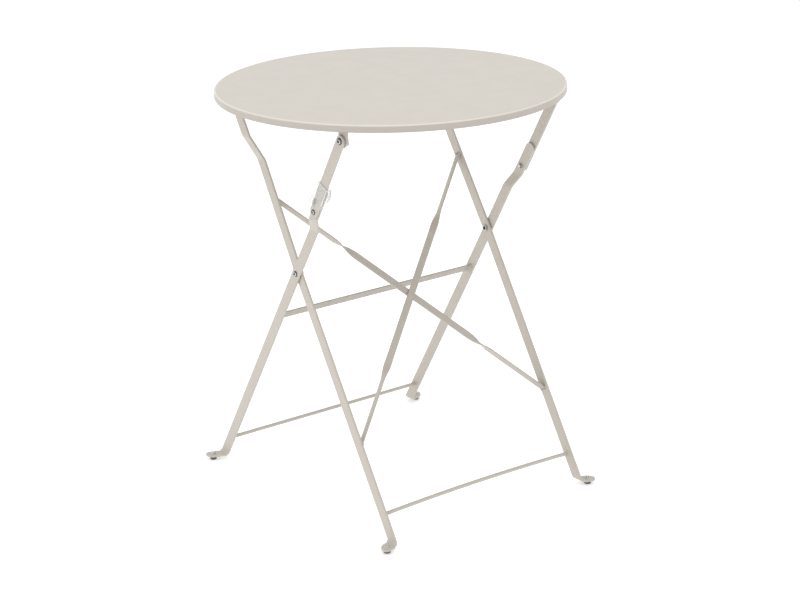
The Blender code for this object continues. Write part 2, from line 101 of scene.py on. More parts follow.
SCISSOR = joint_xz("scissor_pivot")
KNEE = joint_xz("knee_pivot")
LINK_TOP = joint_xz("stay_pivot")
INNER_TOP = (middle("rear_pivot_stud_right").x, middle("rear_pivot_stud_right").z)
OUTER_SLOPE = (KNEE[0] - SCISSOR[0]) / (KNEE[1] - SCISSOR[1])
INNER_SLOPE = (INNER_TOP[0] - SCISSOR[0]) / (INNER_TOP[1] - SCISSOR[1])

# ------------------------------------------------------------------ sizes, mm
GAP = 0.3  # between pieces that touch
BAR_WIDTH = 20.0
BAR_THICK = 4.0
BAR_EDGE = 1.1  # radius of a rolled bar edge
STRIP_THICK = 2.5
STRIP_EDGE = 0.8
MID_BAR_WIDTH = 15.0
BRACE_WIDTH = 13.0
ROD_RADIUS = 3.2
SHEET = 1.5
TOP_CORNER = 3.0
HEM = 1.6  # radius of the rim's rolled lower edge
WASHER = 0.7
SHANK = 3.0  # radius of every bolt

# Bends of the legs: radii, the height of a foot tab's middle and the share of a leg's lean that it keeps
FOOT_BEND = 7.0
CROSS_BEND = 400.0
JOGGLE_BEND = 16.0
TAB_Z = 8.5
TAB_SPLAY = 0.5

# Distances of the legs' and links' middles from the centre plane, and the heights where the legs' joggles
# start and end
OUTER_Y = {"foot": 213.3, "cross": 209.6, "bend": 207.9, "top": 219.4, "tab": 234.5}
INNER_Y = {"foot": 204.3, "cross": 204.8, "bend": 200.2, "top": 213.7, "tab": 221.7}
OUTER_BEND_Z = (509.3, 532.0)
INNER_BEND_Z = (595.8, 634.3)
LINK_Y = 223.7

# Braces: distances of their ends along a leg from the scissor pivot, how far each lies off the frame's plane
# so that they clear each other, the share of the length where one twists, and half the share that it takes
LEFT_BRACE_AT = (134.5, -307.5)
RIGHT_BRACE_AT = (144.0, -309.0)
BRACE_LIFT = 1.45
TWIST_AT = 0.25
TWIST_SHARE = 0.045


def outer_x(z):
    return SCISSOR[0] + OUTER_SLOPE * (z - SCISSOR[1])


def inner_x(z):
    return SCISSOR[0] + INNER_SLOPE * (z - SCISSOR[1])


# ------------------------------------------------------------------ materials
class Nodes:
    """A small helper that adds and links the nodes of one material."""

    def __init__(self, name):
        self.material = bpy.data.materials.new(name)
        self.material.use_nodes = True
        self.tree = self.material.node_tree
        self.shader = self.tree.nodes["Principled BSDF"]

    def add(self, kind, **inputs):
        node = self.tree.nodes.new(kind)
        for key, value in inputs.items():
            node.inputs[key.replace("_", " ")].default_value = value
        return node

    def link(self, source, target):
        self.tree.links.new(source, target)

    def noise(self, scale, detail=3.0, rough=0.5):
        coordinates = self.tree.nodes.get("coordinates") or self.tree.nodes.new("ShaderNodeTexCoord")
        coordinates.name = "coordinates"
        made = self.add("ShaderNodeTexNoise", Scale=scale, Detail=detail, Roughness=rough)
        self.link(coordinates.outputs["Object"], made.inputs["Vector"])
        return made.outputs["Fac"]

    def span(self, source, low_value, high_value, start=0.3, end=0.7):
        """Maps a value from start..end to low_value..high_value, and holds it past the ends."""
        made = self.add("ShaderNodeMapRange")
        made.inputs["From Min"].default_value = start
        made.inputs["From Max"].default_value = end
        made.inputs["To Min"].default_value = low_value
        made.inputs["To Max"].default_value = high_value
        self.link(source, made.inputs["Value"])
        return made.outputs["Result"]

    def mix(self, share, first, second):
        """Mixes two colours by a value; a colour is a tuple or a socket."""
        made = self.tree.nodes.new("ShaderNodeMix")
        made.data_type = "RGBA"
        self.link(share, made.inputs[0])
        for socket, colour in ((made.inputs[6], first), (made.inputs[7], second)):
            if isinstance(colour, tuple):
                socket.default_value = (*colour, 1.0)
            else:
                self.link(colour, socket)
        return made.outputs[2]

    def edge_wear_and_painted_light(self, start=0.52, end=0.6):
        """0 on faces, 1 on sharp outside edges, broken up by noise: wear on the rubber, painted shade on the
        bars' edges and a painted highlight on the pan's edges.
        """
        shape = self.tree.nodes.new("ShaderNodeNewGeometry")
        edge = self.span(shape.outputs["Pointiness"], 0.0, 1.0, start, end)
        patch = self.span(self.noise(60.0, 4.0), 0.65, 1.0)
        both = self.tree.nodes.new("ShaderNodeMath")
        both.operation = "MULTIPLY"
        self.link(edge, both.inputs[0])
        self.link(patch, both.inputs[1])
        return both.outputs[0]

    def bump(self, height, strength, distance, under=None):
        made = self.add("ShaderNodeBump", Strength=strength, Distance=distance)
        self.link(height, made.inputs["Height"])
        if under is not None:
            self.link(under, made.inputs["Normal"])
        return made.outputs["Normal"]

    def surface(self, colour, rough, normal=None):
        """Links the finished values to the shader and returns the material."""
        self.link(colour, self.shader.inputs["Base Color"])
        self.link(rough, self.shader.inputs["Roughness"])
        if normal is not None:
            self.link(normal, self.shader.inputs["Normal"])
        return self.material


PAINT = (0.515, 0.477, 0.427)
PAINT_DEEP = (0.507, 0.469, 0.418)
BAR_EDGE_SHADE = (0.400, 0.367, 0.325)  # painted shade on the rolled edges of the bars
TOP_EDGE_HIGHLIGHT = (0.600, 0.562, 0.512)  # painted highlight on the pan's sharp edges
RIM_HEIGHT = 0.0125  # m below the top
RIM_BLEND = (0.0036, 0.0026)  # m in from the outside: where the rim's painted shade and highlight start and where they are full
RIM_SHADE_AND_HIGHLIGHT = (  # share of the rim's height, colour: painted shade on the hem and wall, a painted highlight on the roll
    (0.0, (0.34, 0.31, 0.27)),
    (0.13, (0.46, 0.424, 0.378)),
    (0.80, (0.47, 0.433, 0.387)),
    (0.90, (0.63, 0.592, 0.541)),
)


def rim_shade_and_highlight(n, base):
    """Painted shade on the rim's wall and hem and a painted highlight on its roll; the base colour
    elsewhere.
    """
    radius, top = CAD_BOX[1][0], CAD_BOX[1][2]
    coordinates = n.tree.nodes.new("ShaderNodeTexCoord")
    flat = n.tree.nodes.new("ShaderNodeVectorMath")
    flat.operation = "MULTIPLY"
    flat.inputs[1].default_value = (1.0, 1.0, 0.0)
    reach = n.tree.nodes.new("ShaderNodeVectorMath")
    reach.operation = "LENGTH"
    split = n.tree.nodes.new("ShaderNodeSeparateXYZ")
    n.link(coordinates.outputs["Object"], flat.inputs[0])
    n.link(flat.outputs["Vector"], reach.inputs[0])
    n.link(coordinates.outputs["Object"], split.inputs["Vector"])
    start, full = (radius - inset for inset in RIM_BLEND)
    outside = n.span(reach.outputs["Value"], 0.0, 1.0, start, full)
    ramp = n.tree.nodes.new("ShaderNodeValToRGB")
    stops = ramp.color_ramp.elements
    stops.remove(stops[1])
    for index, (share, tone) in enumerate(RIM_SHADE_AND_HIGHLIGHT):
        stop = stops[0] if index == 0 else stops.new(share)
        stop.position = share
        stop.color = (*tone, 1.0)
    n.link(n.span(split.outputs["Z"], 0.0, 1.0, top - RIM_HEIGHT, top), ramp.inputs["Fac"])
    return n.mix(outside, base, ramp.outputs["Color"])


def powder_coat(name, painted_edge_tone, rim=False):
    """Satin powder coat: fine orange peel, slow colour drift, a painted edge tone from the caller (shade on
    the bars, highlight on the top), and with rim set the rim's painted shade and highlight.
    """
    n = Nodes(name)
    drift = n.mix(n.span(n.noise(9.0, 4.0), 0.0, 1.0), PAINT, PAINT_DEEP)
    speck = n.mix(n.span(n.noise(900.0, 2.0), 0.0, 0.35, 0.55, 0.75), drift, PAINT_DEEP)
    colour = n.mix(n.edge_wear_and_painted_light(), rim_shade_and_highlight(n, speck) if rim else speck, painted_edge_tone)
    rough = n.span(n.noise(25.0, 4.0), 0.40, 0.50)
    peel = n.bump(n.noise(620.0, 2.0, 0.4), 0.10, 0.0004)
    fine = n.bump(n.noise(2600.0, 2.0, 0.5), 0.06, 0.0001, peel)
    n.shader.inputs["Specular IOR Level"].default_value = 0.42
    n.shader.inputs["Coat Weight"].default_value = 0.20
    n.shader.inputs["Coat Roughness"].default_value = 0.20
    return n.surface(colour, rough, fine)


def bright_zinc():
    """Polished zinc-plated steel with faint turning marks and a few dull patches."""
    n = Nodes("zinc_finished")
    colour = n.mix(n.span(n.noise(240.0, 4.0), 0.0, 1.0), (0.70, 0.70, 0.71), (0.34, 0.34, 0.34))
    rough = n.span(n.noise(420.0, 3.0), 0.10, 0.26)
    marks = n.bump(n.noise(1800.0, 2.0), 0.12, 0.0002)
    n.shader.inputs["Metallic"].default_value = 1.0
    return n.surface(colour, rough, marks)


def foot_rubber():
    """Moulded grey rubber with fine grain, paler where it scuffs."""
    n = Nodes("foot_rubber")
    colour = n.mix(n.span(n.noise(160.0, 4.0), 0.0, 1.0), (0.100, 0.100, 0.102), (0.150, 0.148, 0.145))
    scuffed = n.mix(n.edge_wear_and_painted_light(0.53, 0.62), colour, (0.20, 0.195, 0.19))
    rough = n.span(n.noise(300.0, 3.0), 0.55, 0.75)
    grain = n.bump(n.noise(1400.0, 3.0), 0.35, 0.0003)
    return n.surface(scuffed, rough, grain)


def clear_plastic():
    """Milky clear moulded plastic with bright edges."""
    n = Nodes("clip_plastic")
    colour = n.mix(n.span(n.noise(70.0, 3.0), 0.0, 1.0), (0.86, 0.87, 0.87), (0.76, 0.77, 0.775))
    rough = n.span(n.noise(200.0, 3.0), 0.10, 0.22)
    wave = n.bump(n.noise(260.0, 2.0), 0.15, 0.0004)
    n.shader.inputs["Alpha"].default_value = 0.17
    n.shader.inputs["IOR"].default_value = 1.49
    return n.surface(colour, rough, wave)


def milky_plastic():
    """The same plastic where it is thick: rims, ribs and lugs."""
    n = Nodes("clip_plastic_thick")
    colour = n.mix(n.span(n.noise(70.0, 3.0), 0.0, 1.0), (0.93, 0.94, 0.94), (0.86, 0.87, 0.87))
    rough = n.span(n.noise(200.0, 3.0), 0.12, 0.25)
    n.shader.inputs["Alpha"].default_value = 0.85
    n.shader.inputs["IOR"].default_value = 1.49
    return n.surface(colour, rough, n.bump(n.noise(260.0, 2.0), 0.15, 0.0004))


def painted_shade_plastic():
    """Painted shade: the grey of the clip's latch pocket and of its outlines."""
    n = Nodes("clip_pocket_shade")
    colour = n.mix(n.span(n.noise(90.0, 3.0), 0.0, 1.0), (0.36, 0.34, 0.31), (0.44, 0.42, 0.39))
    rough = n.span(n.noise(200.0, 3.0), 0.35, 0.55)
    return n.surface(colour, rough, n.bump(n.noise(300.0, 2.0), 0.15, 0.0003))


def blackened_steel_and_socket_shade():
    """Dark oiled steel of washers and bolt ends, and the near-black painted shade that lines the sockets."""
    n = Nodes("washer_dark_and_socket_shade")
    colour = n.mix(n.span(n.noise(260.0, 3.0), 0.0, 1.0), (0.012, 0.012, 0.012), (0.030, 0.029, 0.028))
    rough = n.span(n.noise(400.0, 3.0), 0.45, 0.65)
    n.shader.inputs["Specular IOR Level"].default_value = 0.25
    return n.surface(colour, rough, n.bump(n.noise(1600.0, 2.0), 0.15, 0.0002))


# the bars' coat, with painted shade on their rolled edges
COAT = powder_coat("powder_coat_bars", BAR_EDGE_SHADE)
# the top's coat, with a painted highlight on its sharp edges and painted shade and highlight round the rim
TOP_COAT = powder_coat("powder_coat_top", TOP_EDGE_HIGHLIGHT, rim=True)
ZINC = bright_zinc()
RUBBER = foot_rubber()
PLASTIC = clear_plastic()
MILKY = milky_plastic()
PLASTIC_SHADE = painted_shade_plastic()
DARK_STEEL_AND_SHADE = blackened_steel_and_socket_shade()
SLOTS = {COAT: "powder_coat", TOP_COAT: "powder_coat", ZINC: "zinc", DARK_STEEL_AND_SHADE: "zinc", RUBBER: "pad"}
SLOTS |= {PLASTIC: "clear_plastic", MILKY: "clear_plastic", PLASTIC_SHADE: "clear_plastic"}


# ------------------------------------------------------------------ mesh helpers
def finish_piece(name, bm, body, surface, replaced=(), sharp=38.0):
    """Turns a mesh in millimetres into a shaded piece that rides on a body."""
    bmesh.ops.recalc_face_normals(bm, faces=bm.faces)
    bmesh.ops.scale(bm, vec=(MM, MM, MM), verts=bm.verts)
    mesh = bpy.data.meshes.new(name)
    bm.to_mesh(mesh)
    bm.free()
    mesh.materials.append(surface)
    mesh.shade_smooth()
    mesh.set_sharp_from_angle(angle=math.radians(sharp))
    piece = bpy.data.objects.new(name, mesh)
    bpy.context.scene.collection.objects.link(piece)
    normals = piece.modifiers.new("normals", "WEIGHTED_NORMAL")
    normals.keep_sharp = True
    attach(piece, body)
    if replaced:
        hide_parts(*replaced)


def rounded_section(half_u, half_v, radius, per_corner=4):
    """Points (u, v) round a rectangle with rounded corners."""
    radius = min(radius, half_u * 0.96, half_v * 0.96)
    points = []
    for corner, (su, sv) in enumerate(((1, 1), (-1, 1), (-1, -1), (1, -1))):
        for step in range(per_corner):
            angle = math.pi / 2 * (corner + step / (per_corner - 1))
            u = su * (half_u - radius) + radius * math.cos(angle)
            v = sv * (half_v - radius) + radius * math.sin(angle)
            points.append((u, v))
    return points


def layer_profile(half, edge, steps=4):
    """(inset, height) pairs through the thickness of a plate with rounded edges."""
    edge = min(edge, half)
    pairs = []
    for step in range(steps + 1):
        angle = math.pi / 2 * step / steps
        pairs.append((edge * (1 - math.sin(angle)), -half + edge * (1 - math.cos(angle))))
    pairs += [(inset, -height) for inset, height in reversed(pairs)]
    unique = [pairs[0]]
    for pair in pairs[1:]:
        if abs(pair[1] - unique[-1][1]) > 1e-6:
            unique.append(pair)
    return unique


def ring_pairs(rings, loop):
    """Each ring with the next one, and in a loop the last with the first."""
    return zip(rings, rings[1:] + rings[:1] if loop else rings[1:])


def skin(bm, rings, loop=False):
    """Joins rings of vertices into a tube with closed ends, or into a loop."""
    count = len(rings[0])
    for before, after in ring_pairs(rings, loop):
        for i in range(count):
            j = (i + 1) % count
            bm.faces.new((before[i], before[j], after[j], after[i]))
    if not loop:
        bm.faces.new(rings[0])
        bm.faces.new(rings[-1])


def sweep(stations, edge):
    """A bar with rounded edges through stations of (middle, half width, half thickness)."""
    bm = bmesh.new()
    rings = []
    for spot, width, thick in stations:
        section = rounded_section(width.length, thick.length, edge)
        u, v = width.normalized(), thick.normalized()
        rings.append([bm.verts.new(spot + u * a + v * b) for a, b in section])
    skin(bm, rings)
    return bm


def lathe(profile, centre, axis, segments=48, loop=False):
    """Turns an outline of (radius, height) about an axis through centre."""
    bm = bmesh.new()
    turn = Vector((0, 0, 1)).rotation_difference(Vector(axis))
    rings = []
    for radius, height in profile:
        ring = []
        for step in range(segments if radius > 0 else 1):
            angle = 2 * math.pi * step / segments
            spot = Vector((radius * math.cos(angle), radius * math.sin(angle), height))
            ring.append(bm.verts.new(Vector(centre) + turn @ spot))
        rings.append(ring)
    for before, after in ring_pairs(rings, loop):
        for step in range(segments):
            following = (step + 1) % segments
            corners = [before[step % len(before)], before[following % len(before)]]
            corners += [after[following % len(after)], after[step % len(after)]]
            unique = list(dict.fromkeys(corners))
            if len(unique) > 2:
                bm.faces.new(unique)
    return bm


def arc(centre, radius, start, end, steps):
    """Points on an arc; angles in degrees."""
    points = []
    for step in range(steps + 1):
        angle = math.radians(start + (end - start) * step / steps)
        points.append((centre[0] + radius * math.cos(angle), centre[1] + radius * math.sin(angle)))
    return points


def rounded_path(points, radii, steps=8):
    """Rounds the corners of an open polyline; returns (point, tangent) pairs."""
    straight = 0.02  # rad
    path = [Vector(p) for p in points]
    result = [(path[0], (path[1] - path[0]).normalized())]
    for index in range(1, len(path) - 1):
        into = (path[index] - path[index - 1]).normalized()
        out = (path[index + 1] - path[index]).normalized()
        bend = into.angle(out)
        if bend < straight:
            result.append((path[index], (into + out).normalized()))
            continue
        radius = radii[index - 1]
        cut = radius * math.tan(bend / 2)
        start = path[index] - into * cut
        side = (out - into * into.dot(out)).normalized()
        for step in range(steps + 1):
            angle = bend * step / steps
            spot = start + into * (radius * math.sin(angle)) + side * (radius * (1 - math.cos(angle)))
            result.append((spot, into * math.cos(angle) + side * math.sin(angle)))
    result.append((path[-1], (path[-1] - path[-2]).normalized()))
    return result


# ------------------------------------------------------------------ legs and links
def end_span(z, line, slope, end):
    """Left and right x of a leg at height z near its round end."""
    reach = BAR_WIDTH / 2
    tilt = math.atan(slope)
    half = reach / math.cos(tilt)
    left, right = line(z) - half, line(z) + half
    above = math.sqrt(max(reach**2 - (z - end[1]) ** 2, 0.0))
    if z > end[1] - reach * math.sin(tilt):
        right = end[0] + above
    if z > end[1] + reach * math.sin(tilt):
        left = end[0] - above
    return left, right


def leg_stations(side, line, slope, ys, bends, end):
    """Bar stations from the round tip of the foot tab, along the bends, up to the round top end."""
    tip_shares = (0.12, 0.3, 0.5, 0.68, 0.82, 0.92, 0.98)  # of the bar's width, across the tip
    least_step = 0.5
    half = BAR_WIDTH / 2 / math.cos(math.atan(slope))
    points = [
        (ys["tab"], TAB_Z),
        (ys["foot"], TAB_Z),
        (ys["cross"], SCISSOR[1]),
        (ys["bend"], bends[0]),
        (ys["top"], bends[1]),
        (ys["top"], end[1]),
    ]
    path = rounded_path(points, (FOOT_BEND, CROSS_BEND, JOGGLE_BEND, JOGGLE_BEND))

    def middle_x(y, z):
        return line(z) if z > TAB_Z else line(TAB_Z) - TAB_SPLAY * slope * max(y - ys["foot"], 0.0)

    stations = []
    for share in tip_shares:
        y = ys["tab"] + half * math.sqrt(1 - share**2)
        spot = Vector((middle_x(y, TAB_Z), side * y, TAB_Z))
        stations.append((spot, Vector((half * share, 0, 0)), Vector((0, 0, BAR_THICK / 2))))
    for point, tangent in path[:-1]:
        y, z = point
        spot = Vector((middle_x(y, z), side * y, z))
        thick = Vector((0, side * -tangent.y, tangent.x)) * -BAR_THICK / 2
        stations.append((spot, Vector((half, 0, 0)), thick))
    for angle in range(-60, 85, 12):
        z = end[1] + BAR_WIDTH / 2 * math.sin(math.radians(angle))
        if z > stations[-1][0].z + least_step:
            left, right = end_span(z, line, slope, end)
            spot = Vector(((left + right) / 2, side * ys["top"], z))
            half_x = Vector(((right - left) / 2, 0, 0))
            stations.append((spot, half_x, Vector((0, side * BAR_THICK / 2, 0))))
    return stations


def make_legs():
    outer_end_z = high("outer_leg_left").z - BAR_WIDTH / 2
    outer_end = (outer_x(outer_end_z), outer_end_z)
    legs = (
        ("outer", outer_x, OUTER_SLOPE, OUTER_Y, OUTER_BEND_Z, outer_end),
        ("inner", inner_x, INNER_SLOPE, INNER_Y, INNER_BEND_Z, INNER_TOP),
    )
    for label, side in SIDES:
        for kind, *shape in legs:
            bar = sweep(leg_stations(side, *shape), BAR_EDGE)
            finish_piece(f"{kind}_leg_bar_{label}", bar, kind + "_frame", COAT, [f"{kind}_leg_{label}"])


def flat_bar(start, end, y, radius, thick):
    """Straight bar with round ends and rounded edges, in the side plane."""
    steps = 16
    bm = bmesh.new()
    lean = math.atan2(end[1] - start[1], end[0] - start[0])
    outline = []
    for centre, first in ((end, lean - math.pi / 2), (start, lean + math.pi / 2)):
        for step in range(steps + 1):
            angle = first + math.pi * step / steps
            outline.append((centre, math.cos(angle), math.sin(angle)))
    rings = []
    for inset, height in layer_profile(thick / 2, BAR_EDGE):
        reach = radius - inset
        ring = [(at[0] + reach * c, y + height, at[1] + reach * s) for at, c, s in outline]
        rings.append([bm.verts.new(point) for point in ring])
    skin(bm, rings)
    return bm


def make_links():
    for label, side in SIDES:
        bm = flat_bar(KNEE, LINK_TOP, side * LINK_Y, BAR_WIDTH / 2, BAR_THICK)
        finish_piece("link_bar_" + label, bm, "links", COAT, ["link_" + label])


# ------------------------------------------------------------------ cross bars
def along_leg(distance, slope):
    """The (x, z) of a point on a leg's line, at a distance up it from the scissor pivot."""
    lean = math.atan(slope)
    return SCISSOR[0] + distance * math.sin(lean), SCISSOR[1] + distance * math.cos(lean)


def weld(name, centre, axes, halves, round_off, size, body, seed):
    """A concave fillet of weld metal round the end of a bar that stands on a face.

    The axes point out of the face and along the bar's width and thickness.
    """
    out, u, v = axes
    half_u, half_v = halves
    phase = random.Random(seed).uniform(0.0, 6.28)
    bm = bmesh.new()
    rings = []
    profile = [(-0.5, size * 1.05), (0.05, size), (size * 0.28, size * 0.42), (size * 0.62, size * 0.14)]
    profile += [(size, 0.0), (-0.5, -0.05)]
    for reach, height in profile:
        section = rounded_section(half_u + reach, half_v + reach, round_off + max(reach, 0.0) + 0.2, 7)
        ring = []
        for index, (a, b) in enumerate(section):
            wave = 1.0 + 0.10 * math.sin(index * 1.9 + phase) * (1 if reach > 0 else 0)
            ring.append(bm.verts.new(centre + u * (a * wave) + v * (b * wave) + out * height))
        rings.append(ring)
    skin(bm, rings, loop=True)
    finish_piece(name, bm, body, COAT, sharp=60.0)


def make_mid_bar():
    """The outer frame's flat cross bar, in the plane of its legs."""
    spot = middle("outer_mid_bar")
    lean = math.atan(OUTER_SLOPE)
    width = Vector((math.sin(lean), 0, math.cos(lean)))
    thick = Vector((math.cos(lean), 0, -math.sin(lean)))
    halves = (MID_BAR_WIDTH / 2, STRIP_THICK / 2)
    ends = []
    for y in (low("outer_mid_bar").y, high("outer_mid_bar").y):
        ends.append((Vector((spot.x, y, spot.z)), width * MID_BAR_WIDTH / 2, thick * STRIP_THICK / 2))
    finish_piece("mid_bar_strip", sweep(ends, STRIP_EDGE), "outer_frame", COAT, ["outer_mid_bar"])
    for index, (label, side) in enumerate(SIDES):
        face = Vector((spot.x, side * (high("outer_mid_bar").y + GAP), spot.z))
        axes = (Vector((0, -side, 0)), width, thick)
        weld("weld_mid_bar_" + label, face, axes, halves, 0.4, 2.2, "outer_frame", 11 + index)


def make_rod(node, slope, body, seed):
    """Round rod from the CAD's ends, with its slight bow up the frame."""
    steps, sides = 32, 20
    rod_low, rod_high = low(node), high(node)
    reach = rod_high.y
    lean = math.atan(slope)
    up = Vector((math.sin(lean), 0, math.cos(lean)))
    bow = (rod_high.z - rod_low.z - 2 * ROD_RADIUS) / math.cos(lean)
    base_z = rod_low.z + ROD_RADIUS
    base = Vector((SCISSOR[0] + slope * (base_z - SCISSOR[1]), 0, base_z))
    bm = bmesh.new()
    rings = []
    for step in range(steps + 1):
        y = -reach + 2 * reach * step / steps
        spot = base + up * (bow * (1 - (y / reach) ** 2)) + Vector((0, y, 0))
        ring = []
        for turn in range(sides):
            angle = 2 * math.pi * turn / sides
            ring.append(bm.verts.new(spot + Vector((math.cos(angle), 0, math.sin(angle))) * ROD_RADIUS))
        rings.append(ring)
    skin(bm, rings)
    finish_piece(node + "_bar", bm, body, COAT, [node])
    halves = (ROD_RADIUS, ROD_RADIUS)
    for index, (label, side) in enumerate(SIDES):
        face = base + Vector((0, side * (reach + GAP), 0))
        axes = (Vector((0, -side, 0)), Vector((1, 0, 0)), Vector((0, 0, 1)))
        weld(f"weld_{node}_{label}", face, axes, halves, ROD_RADIUS, 2.0, body, seed + index)


def twist(share):
    """0 where a brace stands on edge, near its ends, and 1 where it lies flat."""
    edge = min(share, 1 - share)
    ease = min(max((edge - TWIST_AT + TWIST_SHARE) / (2 * TWIST_SHARE), 0.0), 1.0)
    return ease * ease * (3 - 2 * ease)


def make_brace(node, side, meets, lift, turn_way, seed):
    """Flat strip across the inner frame, on edge at its ends and twisted flat between."""
    steps = 160
    lean = math.atan(INNER_SLOPE)
    down_leg = Vector((math.sin(lean), 0, math.cos(lean)))
    normal = Vector((math.cos(lean), 0, -math.sin(lean)))
    ends = []
    brace_y = (high(node).y, low(node).y) if side > 0 else (low(node).y, high(node).y)
    for distance, y in zip(meets, brace_y):
        x, z = along_leg(distance, INNER_SLOPE)
        ends.append(Vector((x, y, z)) + normal * lift)
    run = (ends[1] - ends[0]).normalized()
    flat = normal.cross(run)
    stations = []
    for step in range(steps + 1):
        turned = twist(step / steps)
        if turned in (0.0, 1.0) and step % 16:
            continue
        turn = turn_way * turned * math.pi / 2
        width = normal * math.cos(turn) + flat * math.sin(turn)
        thick = run.cross(width)
        if step in (0, steps):  # cut flush with the leg
            before = stations[-1][2] if stations else thick
            thick = down_leg / abs(run.y)
            if thick.dot(before) < 0:
                thick = -thick
        spot = ends[0].lerp(ends[1], step / steps)
        stations.append((spot, width * BRACE_WIDTH / 2, thick * STRIP_THICK / 2))
    finish_piece(node + "_strip", sweep(stations, STRIP_EDGE), "inner_frame", COAT, [node])
    halves = (BRACE_WIDTH / 2, STRIP_THICK / 2 / abs(run.y))
    for index, spot in enumerate(ends):
        out = Vector((0, -1 if spot.y > 0 else 1, 0))
        name, axes = f"weld_{node}_{index + 1}", (out, normal, down_leg)
        weld(name, spot - out * GAP, axes, halves, 0.4, 2.0, "inner_frame", seed + index)


# ------------------------------------------------------------------ top, rails and lugs
TOP_SEGMENTS = 256


def make_top():
    """Pressed pan with a rolled edge; the rim turns in below in a round hem."""
    radius = high("table_top").x
    top_z = high("table_top").z
    base_z = low("table_top").z
    wall_top = top_z - TOP_CORNER
    corner = (radius - TOP_CORNER, wall_top)
    hem = (radius - HEM, base_z + HEM)
    profile = [(0.0, top_z), (radius * 0.35, top_z), (radius * 0.7, top_z), (radius - 12.0, top_z)]
    profile += [(radius - TOP_CORNER - 2.5, top_z - 0.02)]
    profile += arc(corner, TOP_CORNER, 84, 0, 9)
    profile += [(radius, wall_top - 3.0), (radius, hem[1] + 0.6)]
    profile += arc(hem, HEM, 0, -90, 6)
    profile += [(radius - 3.4, base_z), (radius - 4.0, base_z + 0.5), (radius - 4.0, base_z + 1.0)]
    profile += [(radius - 3.4, base_z + SHEET), (radius - 2.2, base_z + SHEET + 0.2)]
    profile += [(radius - SHEET, base_z + 2.6), (radius - SHEET, wall_top)]
    profile += arc(corner, TOP_CORNER - SHEET, 0, 90, 6)[1:]
    profile += [(radius * 0.7, top_z - SHEET), (0.0, top_z - SHEET)]
    bm = lathe(profile, (0, 0, 0), (0, 0, 1), TOP_SEGMENTS)
    finish_piece("top_pan", bm, "top", TOP_COAT, ["table_top"], sharp=50.0)


def make_rails():
    """Rails with a pressed rib, and the weld beads that hold them to the top."""
    rib = 1.2
    for node in ("front_rail", "rear_rail"):
        rail_low, rail_high = low(node), high(node)
        x = (rail_low.x + rail_high.x) / 2
        half = (rail_high.x - rail_low.x) / 2
        top_z, base_z = rail_high.z, rail_low.z
        section = [(-half, top_z), (-5.5, top_z), (-4.0, top_z - rib), (4.0, top_z - rib), (5.5, top_z)]
        section += [(half, top_z), (half, base_z), (5.0, base_z), (3.4, base_z - rib), (-3.4, base_z - rib)]
        section += [(-5.0, base_z), (-half, base_z)]
        bm = bmesh.new()
        skin(bm, [[bm.verts.new((x + u, y, z)) for u, z in section] for y in (rail_low.y, rail_high.y)])
        bmesh.ops.bevel(
            bm, geom=[e for e in bm.edges if len(e.link_faces) == 2 and e.calc_face_angle() > 0.4],
            offset=0.45, segments=3, profile=0.5, affect="EDGES",
        )
        finish_piece(node + "_pressed", bm, "top", COAT, [node])
        for index, y in enumerate((-150.0, -50.0, 50.0, 150.0)):
            for end, reach in (("a", -half), ("b", half)):
                at = Vector((x + reach, y, top_z - 0.6))
                bead_line(f"weld_{node}_{index + 1}{end}", at, Vector((0, 11, 0)), 1.7, 40 + index)


def bead_line(name, at, half_run, radius, seed):
    """A short run of weld under the top: overlapping scales, half_run to each side of a point."""
    rng = random.Random(seed)
    start, end = at - half_run, at + half_run
    run = (end - start).normalized()
    side = run.cross(Vector((0, 0, 1))).normalized()
    up = side.cross(run)
    length = (end - start).length
    bm = bmesh.new()
    rings = []
    steps = max(int(length / 0.8), 8)
    for step in range(steps + 1):
        share = step / steps
        ends = math.sqrt(max(1 - abs(2 * share - 1) ** 6, 0.02))
        size = radius * ends * (1 + 0.13 * math.sin(share * length * 2.4) + rng.uniform(-0.04, 0.04))
        spot = start.lerp(end, share)
        ring = []
        for turn in range(10):
            angle = 2 * math.pi * turn / 10
            ring.append(bm.verts.new(spot + side * (size * math.cos(angle)) + up * (size * math.sin(angle))))
        rings.append(ring)
    skin(bm, rings)
    finish_piece(name, bm, "top", COAT, sharp=70.0)


def soft_plate(outline, y, half, edge):
    """A flat plate in the side plane with rounded edges and rounded corners."""
    most_cut = 2.6
    area = sum(a[0] * b[1] - b[0] * a[1] for a, b in zip(outline, outline[1:] + outline[:1]))
    if area < 0:
        outline = outline[::-1]
    rounded = []
    count = len(outline)
    for i in range(count):
        before, corner, after = (Vector(outline[(i + k) % count]) for k in (-1, 0, 1))
        into, out = (corner - before), (after - corner)
        cut = min(most_cut, into.length * 0.4, out.length * 0.4)
        start, end = corner - into.normalized() * cut, corner + out.normalized() * cut
        for step in range(5):
            t = step / 4
            rounded.append(start * (1 - t) ** 2 + corner * (2 * t * (1 - t)) + end * t**2)
    bm = bmesh.new()
    rings = []
    total = len(rounded)
    for inset, height in layer_profile(half, edge):
        ring = []
        for i in range(total):
            along = (rounded[(i + 1) % total] - rounded[i - 1]).normalized()
            spot = rounded[i] + Vector((-along.y, along.x)) * inset
            ring.append(bm.verts.new((spot.x, y + height, spot.y)))
        rings.append(ring)
    skin(bm, rings)
    return bm


def front_lug_outline():
    x, z = LINK_TOP
    top_z = high("front_lug_left").z
    return [
        (x - 10, top_z), (x - 9.5, z - 4), (x - 5, z - 11), (x + 3, z - 12),
        (x + 16, z - 4), (x + 14, z + 6), (x + 14, top_z),
    ]


def rear_lug_outline():
    x, z = INNER_TOP
    top_z = high("rear_lug_left").z
    return [(x - 14, top_z), (x - 14, z), (x - 6, z - 10), (x + 6, z - 10), (x + 14, z), (x + 14, top_z)]


